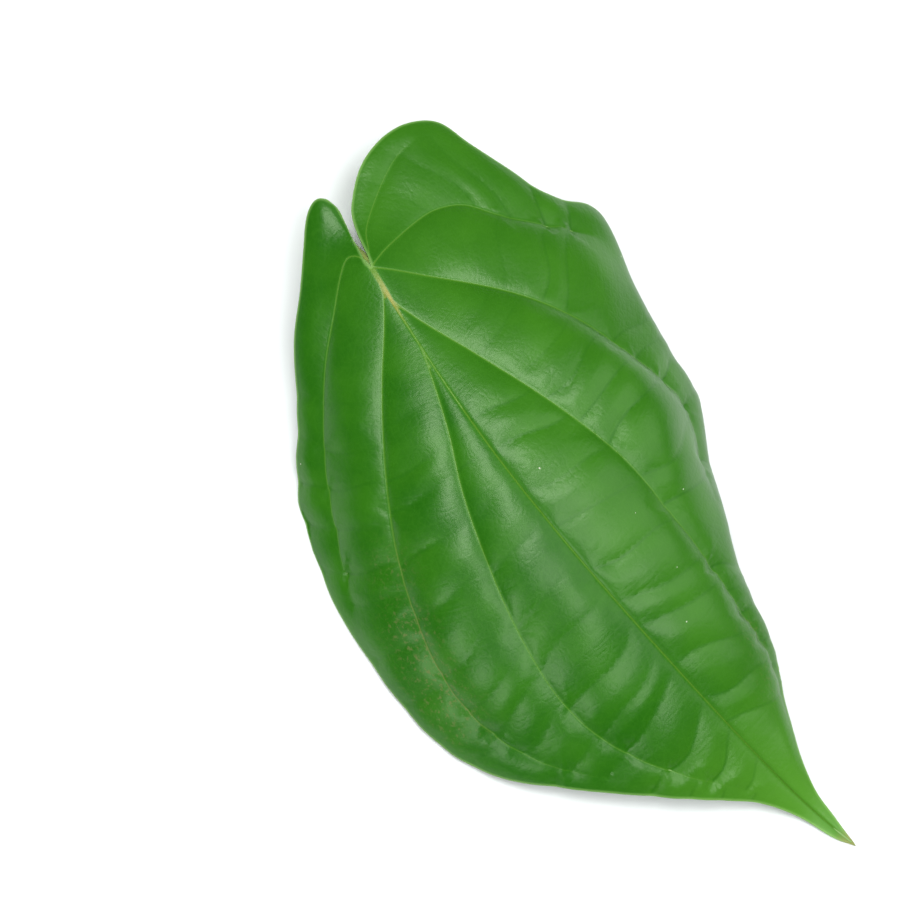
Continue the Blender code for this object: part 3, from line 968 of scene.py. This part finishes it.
@dataclass
class Blade:
    """The blade as one closed thin shell, fine enough to carry every vein."""

    pattern: Pattern
    relief: Relief
    arch: Arch
    spacing: float = FULL_SPACING
    vein_spacing: float = 0.5
    edge_spacing: float = 0.45
    crossing_spacing: float = 0.55
    longest_step: float = 0.9
    line_gap: float = 0.22
    flanks: tuple[float, ...] = (0.4, 0.85, 1.35)
    thick: float = 0.42
    edge_thick: float = 0.30
    edge_taper: float = 2.5
    pressed: float = 0.15
    foot_at: float = 5.5
    foot_reach: float = 3.2
    pale_tip_range: tuple[float, float] = (78, 116)
    tip_range: tuple[float, float] = (115.5, 118.5)

    def thickness(self, edge: np.ndarray) -> np.ndarray:
        """The blade's thickness at a distance from its edge."""
        return self.edge_thick + (self.thick - self.edge_thick) * ramp(0, self.edge_taper, edge)

    def flat_mesh(self) -> tuple[np.ndarray, np.ndarray]:
        """Fill the outline with triangles whose edges follow every vein.

        Returns:
            The flat points and the triangles.
        """
        ring = self.pattern.outline(self.edge_spacing)
        groups, edges, count = [ring], [], len(ring)
        lines = [respace(self.pattern.midrib, self.vein_spacing)[1:-1]]
        lines += [respace(course, self.vein_spacing) for course in self.pattern.courses.values()]
        lines += [respace(c, self.crossing_spacing) for c in self.pattern.crossings]
        for line in lines:
            line = line[self._clear(line, np.vstack(groups), self.line_gap)]
            if len(line) > 1:
                joined = np.hypot(*np.diff(line, axis=0).T) < self.longest_step
                edges += [(count + k, count + k + 1) for k in np.flatnonzero(joined)]
                groups.append(line)
                count += len(line)
        kept = np.vstack(groups)
        for away in self.flanks:
            for course in (self.pattern.midrib, *self.pattern.courses.values()):
                kept = np.vstack([kept, self._flank(course, away, ring, kept)])
        rows = []
        for k, out in enumerate(np.arange(-42, 46, self.spacing * math.sqrt(3) / 2)):
            along = np.arange(-22 + (k % 2) * self.spacing / 2, 121, self.spacing)
            rows.append(np.column_stack([along, np.full(len(along), out)]))
        grid = np.vstack(rows)
        grid = grid[inside(grid, ring)]
        grid = grid[self._clear(grid, kept, self.spacing * 0.5)]
        result = delaunay_2d_cdt(np.vstack([kept, grid]).tolist(), edges,
                                 [list(range(len(ring)))], 1, 1e-4)
        return np.array([tuple(v) for v in result[0]]), np.array([tuple(f) for f in result[2]])

    def _flank(self, course: np.ndarray, away: float, ring: np.ndarray,
               kept: np.ndarray) -> np.ndarray:
        """Rows of points at a fixed distance on both sides of a vein, clear of the kept ones."""
        line = respace(course, self.vein_spacing)
        run = np.gradient(line, axis=0)
        square = np.column_stack([-run[:, 1], run[:, 0]]) / np.hypot(*run.T)[:, None]
        rows = np.vstack([line + square * away, line - square * away])
        rows = rows[inside(rows, ring)]
        return rows[self._clear(rows, kept, self.vein_spacing * 0.5)]

    @staticmethod
    def _clear(points: np.ndarray, kept: np.ndarray, gap: float) -> np.ndarray:
        """Tell which points keep a gap from all kept ones, by sorting both into squares."""
        cell = max(gap, 0.4)
        bins: dict[tuple[int, int], list[int]] = {}
        for k, (i, j) in enumerate(np.floor(kept / cell).astype(int).tolist()):
            bins.setdefault((i, j), []).append(k)
        good = np.ones(len(points), bool)
        where = np.floor(points / cell).astype(int).tolist()
        for n, (i, j) in enumerate(where):
            near = [k for di in (-1, 0, 1) for dj in (-1, 0, 1)
                    for k in bins.get((i + di, j + dj), ())]
            if near:
                away = kept[near] - points[n]
                good[n] = (away ** 2).sum(1).min() > gap ** 2
        return good

    def build(self, finishes: Sequence[bpy.types.Material]) -> bpy.types.Object:
        """Build the blade.

        Args:
            finishes: the materials of the upper face, the underside and the rim.

        Returns:
            The blade's object.
        """
        flat, triangles = self.flat_mesh()
        height, values = self.relief.rise(flat)
        normal = self.arch.facing(flat)
        top = self.arch.bend(flat) + normal * height[:, None]
        thick = self.thickness(values["edge"])
        under = top - normal * thick[:, None]
        plain = self.arch.bend(flat) + normal * (self.relief.plain(flat) - thick)[:, None]
        self.arch.settle(flat, plain, self.pressed)
        top, under = self.arch.down(top), self.arch.down(under)
        under[:, 2] = np.maximum(under[:, 2], 0)
        top[:, 2] = np.maximum(top[:, 2], under[:, 2] + self.edge_thick * 0.95)
        count = len(top)
        used = {(int(a), int(b)) for f in triangles for a, b in zip(f, np.roll(f, -1))}
        band = []
        for a, b in used:
            if (b, a) not in used:
                band += [(b, a, count + a), (b, count + a, count + b)]
        band.sort()
        faces = np.vstack([triangles, triangles[:, ::-1] + count, np.array(band)])
        blade = mesh_piece("leaf_blade", np.vstack([top, under]), faces, finishes)
        self._mark(blade.data, flat, values, len(triangles), len(band))
        return blade

    def _mark(self, mesh: bpy.types.Mesh, flat: np.ndarray, values: dict[str, np.ndarray],
              face_count: int, band_count: int) -> None:
        """Store what the finishes read: measures, the flat map and each face's finish."""
        values = dict(values)
        along, out = flat.T
        near_foot = np.exp(-((along - self.foot_at) / self.foot_reach) ** 2)
        values["foot"] = 0.8 * near_foot * ramp(0.9, 0.3, abs(out))
        # Paler towards the tip, plus painted sheen: a 0.2 share of the paler green over the high
        # half.
        values["pale_tip_and_sheen"] = np.maximum(ramp(*self.pale_tip_range, along) * 0.85,
                                     0.2 * ramp(-2, 6, out))
        values["tip"] = ramp(*self.tip_range, along) * 0.8
        worn = [spot.weight * np.exp(-((along - spot.along) ** 2 + (out - spot.out) ** 2)
                                     / spot.size ** 2) for spot in SCUFFS]
        values["scuff"] = np.clip(np.sum(worn, axis=0), 0, 1)
        values["reach"] = np.hypot(along, out)
        values["swing"] = np.arctan2(out, along) * 10
        for name, column in values.items():
            store(mesh, name, np.concatenate([column, column]))
        finish = np.concatenate([np.full(face_count, Face.UPPER.value),
                                 np.full(face_count, Face.UNDER.value),
                                 np.full(band_count, Face.RIM.value)])
        mesh.polygons.foreach_set("material_index", finish.astype(np.int32))
        corner = np.empty(len(mesh.loops), np.int32)
        mesh.loops.foreach_get("vertex_index", corner)
        layer = mesh.uv_layers.new(name="flat")
        layer.data.foreach_set("uv", (flat[corner % len(flat)] * 0.1).astype(np.float32).ravel())
        mesh.set_sharp_from_angle(angle=math.radians(50))


@dataclass
class Ribs:
    """The ribs on the underside, swept along the veins by Geometry Nodes."""

    pattern: Pattern
    relief: Relief
    arch: Arch
    blade: Blade
    sunk: float = 0.45
    sides: int = 8
    main_step: float = 1.6
    crossing_step: float = 1.3

    def _courses(self) -> list[tuple[np.ndarray, np.ndarray]]:
        """Every rib as its flat path and its radius at each point."""
        midrib = respace(self.pattern.midrib[5:], self.main_step)
        radius = 0.14 + 0.48 * np.exp(-midrib[:, 0] / 45)
        courses = [(midrib, radius)]
        for vein in VEINS:
            path = respace(self.pattern.courses[vein.name], self.main_step)
            share = np.linspace(0, 1, len(path))
            courses.append((path, vein.rib * (0.6 - 0.46 * share)))
        for path, weight in zip(self.pattern.crossings, self.pattern.weights):
            path = respace(path, self.crossing_step)
            share = np.linspace(0, 1, len(path))
            courses.append((path, (0.10 + 0.07 * weight) * (1 - 0.35 * share)))
        return courses

    def _guide(self) -> bpy.types.Object:
        """The ribs' centre lines as a curve object whose radii are in metres."""
        curve = bpy.data.curves.new("rib_guide", "CURVE")
        curve.dimensions = "3D"
        for flat, radius in self._courses():
            height, values = self.relief.rise(flat)
            normal = self.arch.facing(flat)
            depth = self.blade.thickness(values["edge"]) * (1 - self.sunk) + radius
            centre = self.arch.down(self.arch.bend(flat) + normal * (height - depth)[:, None])
            centre[:, 2] = np.maximum(centre[:, 2], radius)
            spline = curve.splines.new("POLY")
            spline.points.add(len(flat) - 1)
            spline.points.foreach_set("co", np.column_stack(
                [centre * MM, np.ones(len(flat))]).astype(np.float32).ravel())
            spline.points.foreach_set("radius", (radius * MM).astype(np.float32))
        obj = bpy.data.objects.new("rib_guide", curve)
        bpy.context.collection.objects.link(obj)
        return obj

    def _tree(self, finish: bpy.types.Material) -> bpy.types.NodeTree:
        """The node tree that sweeps a round section along each centre line."""
        tree = sized_tree("sweep_ribs", {"Sides": "Int", "Fullness": "Float"})
        n, link = tree.nodes.new, tree.links.new
        source, sink = n("NodeGroupInput"), n("NodeGroupOutput")
        circle, sweep = n("GeometryNodeCurvePrimitiveCircle"), n("GeometryNodeCurveToMesh")
        radius, scale = n("GeometryNodeInputRadius"), n("ShaderNodeMath")
        realize, smooth = n("GeometryNodeRealizeInstances"), n("GeometryNodeSetShadeSmooth")
        dress = n("GeometryNodeSetMaterial")
        scale.operation = "MULTIPLY"
        circle.inputs["Radius"].default_value = 1.0
        sweep.inputs["Fill Caps"].default_value = True
        dress.inputs["Material"].default_value = finish
        link(source.outputs["Sides"], circle.inputs["Resolution"])
        link(radius.outputs[0], scale.inputs[0])
        link(source.outputs["Fullness"], scale.inputs[1])
        link(source.outputs["Geometry"], sweep.inputs["Curve"])
        link(circle.outputs[0], sweep.inputs["Profile Curve"])
        link(scale.outputs[0], sweep.inputs["Scale"])
        link(sweep.outputs[0], smooth.inputs[0])
        link(smooth.outputs[0], realize.inputs[0])
        link(realize.outputs[0], dress.inputs["Geometry"])
        link(dress.outputs[0], sink.inputs[0])
        return tree

    def build(self, finish: bpy.types.Material) -> bpy.types.Object:
        """Sweep the ribs and turn them into a plain mesh.

        Args:
            finish: their material.

        Returns:
            The ribs' object.
        """
        guide = self._guide()
        ribs = baked(guide, self._tree(finish), {"Sides": self.sides, "Fullness": 1.0},
                     "leaf_ribs")
        bpy.data.objects.remove(guide)
        return ribs


def baked(source: bpy.types.Object, tree: bpy.types.NodeTree, sizes: dict[str, Any],
          name: str) -> bpy.types.Object:
    """Run a node tree on an object and keep the result as a plain mesh.

    Args:
        source: the object the tree works on.
        tree: the tree.
        sizes: values of its named inputs.
        name: the new piece's name.

    Returns:
        The new object.
    """
    modifier = source.modifiers.new(name, "NODES")
    modifier.node_group = tree
    for item in tree.interface.items_tree:
        if item.item_type == "SOCKET" and item.in_out == "INPUT" and item.name in sizes:
            modifier[item.identifier] = sizes[item.name]
    graph = bpy.context.evaluated_depsgraph_get()
    mesh = bpy.data.meshes.new_from_object(source.evaluated_get(graph), depsgraph=graph)
    source.modifiers.remove(modifier)
    mesh.name = name
    piece = bpy.data.objects.new(name, mesh)
    bpy.context.collection.objects.link(piece)
    return piece


@dataclass
class Stalk:
    """The cut stub of the stalk, channelled along its upper side."""

    arch: Arch
    relief: Relief
    course: tuple[tuple[float, float, float, float], ...] = (
        (4.0, 0.0, 0.95, 0.55), (2.0, 0.0, 1.2, 0.85), (0.0, 0.0, 1.55, 1.15),
        (-2.0, 0.0, 2.3, 1.3), (-4.2, 0.1, 3.9, 1.35), (-6.4, 0.3, 6.0, 1.4),
        (-8.3, 0.6, 8.2, 1.45))
    sides: int = 36
    rings: int = 44
    groove: float = 0.28
    cut_rings: tuple[tuple[float, float], ...] = (
        (0.94, 0.06), (0.7, 0.02), (0.4, -0.03), (0.15, -0.05))

    def build(self, skin: bpy.types.Material, cut: bpy.types.Material) -> bpy.types.Object:
        """Build the stub.

        Args:
            skin: the material of its skin.
            cut: the material of its cut end.

        Returns:
            The stalk's object.
        """
        knots = []
        for back, aside, below, radius in self.course:
            flat = np.array([[max(back, 0.0), 0.0]])
            height = self.relief.rise(flat)[0]
            centre = (self.arch.bend(flat) + self.arch.facing(flat) * height[:, None])[0]
            knots.append((*(centre + (min(back, 0.0), aside, -below)), radius))
        table = [(k, knot) for k, knot in enumerate(knots)]
        fine = smooth_value(table, np.linspace(0, len(knots) - 1, self.rings))
        centres, radii = fine[:, :3], fine[:, 3]
        runs = np.gradient(centres, axis=0)
        angle = np.arange(self.sides) * 2 * np.pi / self.sides
        groove = 1 - self.groove * np.exp(-((angle - np.pi / 2) / 0.5) ** 2)
        points, ends, rounds = [], [], []
        for k, (centre, run, radius) in enumerate(zip(centres, runs, radii)):
            run = run / np.linalg.norm(run)
            side = np.cross(run, (0, 0, 1))
            side /= np.linalg.norm(side)
            lift = np.cross(side, run)
            wobble = 1 + 0.02 * np.sin(3 * angle + k * 0.35)
            points.append(centre + (radius * groove * wobble)[:, None]
                          * (np.cos(angle)[:, None] * side + np.sin(angle)[:, None] * lift))
            ends.append(np.full(self.sides, k / (self.rings - 1)))
            rounds.append(angle)
        last = points[-1]
        middle, run = last.mean(0), centres[-1] - centres[-2]
        run /= np.linalg.norm(run)
        for inset, dish in self.cut_rings:
            points.append(middle + (last - middle) * inset + run * dish)
            ends.append(np.ones(self.sides))
            rounds.append(angle)
        levels = len(points)
        points = self.arch.down(np.vstack(points))
        faces = [tuple(range(self.sides))[::-1],
                 tuple(range((levels - 1) * self.sides, levels * self.sides))]
        for r in range(levels - 1):
            for k in range(self.sides):
                a, b = r * self.sides + k, r * self.sides + (k + 1) % self.sides
                faces.append((a, b, b + self.sides, a + self.sides))
        stalk = mesh_piece("leaf_stalk", points, faces, (skin, cut))
        work = bmesh.new()
        work.from_mesh(stalk.data)
        bmesh.ops.recalc_face_normals(work, faces=work.faces)
        work.to_mesh(stalk.data)
        work.free()
        store(stalk.data, "end", np.concatenate(ends))
        store(stalk.data, "round", np.concatenate(rounds))
        ring = np.ones(len(points))
        for level, inset in enumerate((1.0, *(inset for inset, _ in self.cut_rings))):
            first = (self.rings - 1 + level) * self.sides
            ring[first:first + self.sides] = inset
        store(stalk.data, "ring", ring)
        index = np.zeros(len(faces), np.int32)
        index[1] = 1
        index[2 + self.rings * self.sides:] = 1
        stalk.data.polygons.foreach_set("material_index", index)
        stalk.data.set_sharp_from_angle(angle=math.radians(60))
        return stalk


@dataclass
class Dust:
    """Tiny pale grains scattered on the upper face by Geometry Nodes."""

    per_square_cm: float = 0.12
    size: float = 0.16
    seed: int = 4

    def _tree(self, finish: bpy.types.Material) -> bpy.types.NodeTree:
        """The node tree that scatters grains over the faces it is given."""
        tree = sized_tree("scatter_grains", {"Density": "Float", "Size": "Float"})
        n, link = tree.nodes.new, tree.links.new
        source, sink = n("NodeGroupInput"), n("NodeGroupOutput")
        spread, grain = n("GeometryNodeDistributePointsOnFaces"), n("GeometryNodeMeshIcoSphere")
        put, flatten = n("GeometryNodeInstanceOnPoints"), n("GeometryNodeTransform")
        chance, scale = n("FunctionNodeRandomValue"), n("ShaderNodeMath")
        realize, dress = n("GeometryNodeRealizeInstances"), n("GeometryNodeSetMaterial")
        spread.inputs["Seed"].default_value = self.seed
        grain.inputs["Radius"].default_value = 1.0
        grain.inputs["Subdivisions"].default_value = 2
        flatten.inputs["Scale"].default_value = (1.0, 0.8, 0.35)
        chance.data_type = "FLOAT"
        chance.inputs[2].default_value = 0.35
        chance.inputs[3].default_value = 1.0
        chance.inputs["Seed"].default_value = self.seed + 1
        scale.operation = "MULTIPLY"
        dress.inputs["Material"].default_value = finish
        link(source.outputs["Geometry"], spread.inputs["Mesh"])
        link(source.outputs["Density"], spread.inputs["Density"])
        link(grain.outputs[0], flatten.inputs["Geometry"])
        link(spread.outputs["Points"], put.inputs["Points"])
        link(flatten.outputs[0], put.inputs["Instance"])
        link(spread.outputs["Rotation"], put.inputs["Rotation"])
        link(chance.outputs[1], scale.inputs[0])
        link(source.outputs["Size"], scale.inputs[1])
        link(scale.outputs[0], put.inputs["Scale"])
        link(put.outputs[0], realize.inputs[0])
        link(realize.outputs[0], dress.inputs["Geometry"])
        link(dress.outputs[0], sink.inputs[0])
        return tree

    def build(self, blade: bpy.types.Object, finish: bpy.types.Material) -> bpy.types.Object:
        """Scatter the grains over the blade's upper face.

        Args:
            blade: the finished blade.
            finish: the grains' material.

        Returns:
            The grains as one object.
        """
        work = bmesh.new()
        work.from_mesh(blade.data)
        under = [f for f in work.faces if f.material_index != Face.UPPER.value]
        bmesh.ops.delete(work, geom=under, context="FACES")
        top = bpy.data.meshes.new("upper_face")
        work.to_mesh(top)
        work.free()
        guide = bpy.data.objects.new("upper_face", top)
        bpy.context.collection.objects.link(guide)
        grains = baked(guide, self._tree(finish), {"Density": self.per_square_cm * 1e4,
                                                   "Size": self.size * MM}, "leaf_dust")
        bpy.data.objects.remove(guide)
        grains.data.shade_smooth()
        return grains


@dataclass
class Studio:
    """The floor, the soft lights and the camera."""

    azimuth: float = 27.4
    elevation: float = 75.7
    roll: float = 22.8
    distance: float = 0.3823
    lens: float = 100.0
    aim: tuple[float, float, float] = (-0.0202, -0.0082, 0.010)
    light_distance: float = 0.9
    floor_reach: float = 3.0
    surround: float = 0.34

    def floor(self, finish: bpy.types.Material) -> bpy.types.Object:
        """Lay the floor."""
        mesh = bpy.data.meshes.new("floor")
        size = self.floor_reach
        mesh.from_pydata([(-size, -size, 0), (size, -size, 0), (size, size, 0),
                          (-size, size, 0)], [], [(0, 1, 2, 3)])
        mesh.materials.append(finish)
        obj = bpy.data.objects.new("floor", mesh)
        bpy.context.collection.objects.link(obj)
        return obj

    def soft_light(self, name: str, azimuth: float, elevation: float, size: float,
                   power: float) -> None:
        """Hang a square soft light that faces the leaf.

        Args:
            name: its name.
            azimuth: its direction round the leaf.
            elevation: its angle over the floor.
            size: the length of its side.
            power: its power in watts.
        """
        place = direction(azimuth, elevation) * self.light_distance
        light = bpy.data.lights.new(name, "AREA")
        light.shape, light.size, light.energy = "SQUARE", size, power
        light.color = (0.95, 1.0, 1.0)
        obj = bpy.data.objects.new(name, light)
        obj.matrix_world = (Matrix.Translation(place)
                            @ place.to_track_quat("Z", "Y").to_matrix().to_4x4())
        bpy.context.collection.objects.link(obj)

    def lights(self) -> None:
        """Hang the lights and set the dim surround."""
        self.soft_light("window_joint", -86, 73, 0.36, 4.4)
        self.soft_light("window_tip", 88, 72, 0.44, 3.0)
        self.soft_light("window_low", 14, 38, 0.34, 2.0)
        self.soft_light("fill", 160, 48, 0.7, 2.8)
        world = bpy.data.worlds.new("surround")
        world.use_nodes = True
        background = world.node_tree.nodes["Background"]
        background.inputs["Color"].default_value = (1.0, 1.0, 1.0, 1)
        background.inputs["Strength"].default_value = self.surround
        world.cycles_visibility.glossy = False
        bpy.context.scene.world = world

    def camera(self) -> None:
        """Set up the camera at the photograph's angle."""
        back = direction(self.azimuth, self.elevation)
        data = bpy.data.cameras.new("camera")
        data.lens, data.sensor_width, data.sensor_fit = self.lens, 36.0, "HORIZONTAL"
        data.clip_start = 0.01
        obj = bpy.data.objects.new("camera", data)
        obj.matrix_world = (Matrix.Translation(Vector(self.aim) + back * self.distance)
                            @ back.to_track_quat("Z", "Y").to_matrix().to_4x4()
                            @ Matrix.Rotation(math.radians(self.roll), 4, "Z"))
        bpy.context.collection.objects.link(obj)
        bpy.context.scene.camera = obj


def main() -> None:
    """Build every piece of the leaf, then the studio."""
    logging.basicConfig(level=logging.INFO, format="%(name)s: %(message)s")
    bpy.context.scene.view_settings.view_transform = "Standard"
    pattern = Pattern()
    relief = Relief(pattern)
    arch = Arch()
    blade = Blade(pattern, relief, arch, FULL_SPACING)
    upper, under = UpperFinish().make(), UnderFinish().make()
    blade_piece = blade.build((upper, under, upper))
    LOG.info("blade: %d faces", len(blade_piece.data.polygons))
    ribs = Ribs(pattern, relief, arch, blade).build(RibFinish().make())
    LOG.info("ribs: %d faces", len(ribs.data.polygons))
    stalk = Stalk(arch, relief).build(StalkFinish().make(), CutFinish().make())
    LOG.info("stalk: %d faces", len(stalk.data.polygons))
    dust = Dust().build(blade_piece, DustFinish().make())
    LOG.info("dust: %d faces", len(dust.data.polygons))
    for piece in (blade_piece, ribs, stalk, dust):
        stands_for_leaf(piece)
    studio = Studio()
    studio.floor(FloorFinish().make())
    studio.lights()
    studio.camera()
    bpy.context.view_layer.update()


if __name__ == "__main__":
    main()
